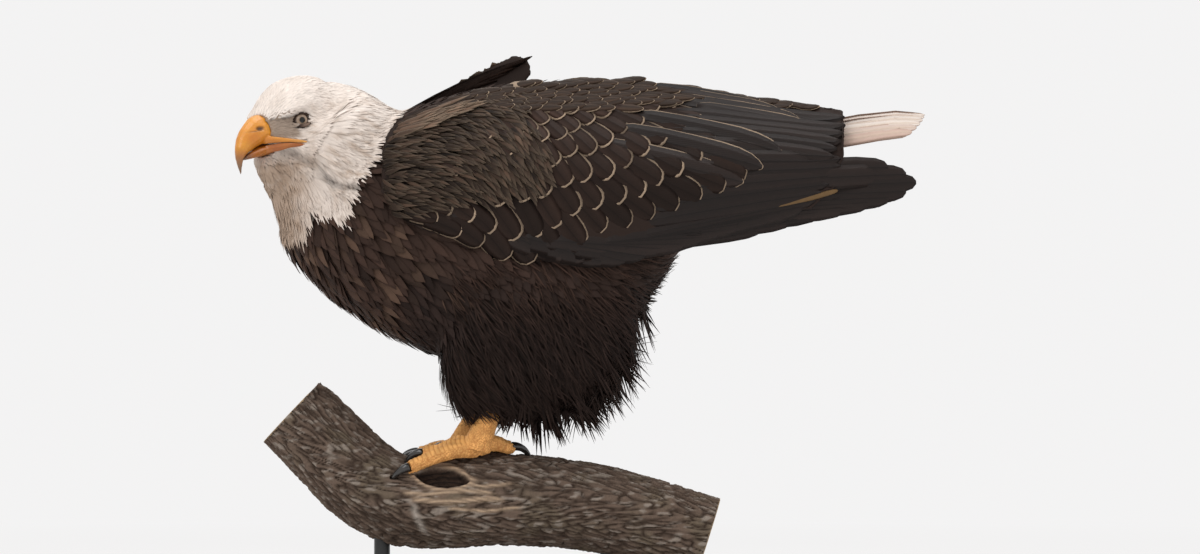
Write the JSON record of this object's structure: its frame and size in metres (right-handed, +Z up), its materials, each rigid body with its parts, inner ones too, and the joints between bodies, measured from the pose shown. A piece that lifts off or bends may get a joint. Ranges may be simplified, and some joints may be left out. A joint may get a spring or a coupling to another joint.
{
  "type": "bald eagle",
  "caption": "Life-size still model of an adult bald eagle standing hunched on a cut, bark-covered limb, held by a plain flat display stand.",
  "frame": {"origin": "middle of the stand base's underside, on the floor below the bird's feet", "axes": "+Z up; the bird's body points along -X with its tail along +X, and its left side faces -Y"},
  "size_m": [0.6879, 0.25, 0.6041],
  "materials": {
    "head_feathers": "soft, matt",
    "body_feathers": "soft, satin",
    "flight_feathers": "satin",
    "tail_feathers": "soft, satin",
    "bill_horn": "waxy horn",
    "leg_skin": "scaly skin",
    "talon_horn": "polished horn",
    "eye": "wet gloss",
    "bark": "rough bark",
    "stand_wood": "black stain, satin",
    "stand_metal": "black, satin"
  },
  "bodies": {
    "root": {"head": "head_feathers", "neck": "head_feathers", "trunk": "body_feathers", "wing_left": "body_feathers", "wing_right": "body_feathers", "wing_left_primaries": "flight_feathers", "wing_right_primaries": "flight_feathers", "tail": "tail_feathers", "thigh_left": "body_feathers", "thigh_right": "body_feathers", "foot_left": "leg_skin", "foot_right": "leg_skin", "bill_upper": "bill_horn", "bill_lower": "bill_horn", "eye_left": "eye", "eye_right": "eye", "perch": "bark", "stand_base": "stand_wood", "stand_rod_front": "stand_metal", "stand_rod_rear": "stand_metal", "claw_left_1": "talon_horn", "claw_left_2": "talon_horn", "claw_left_3": "talon_horn", "claw_left_4": "talon_horn", "claw_right_1": "talon_horn", "claw_right_2": "talon_horn", "claw_right_3": "talon_horn", "claw_right_4": "talon_horn"}
  },
  "joints": []
}
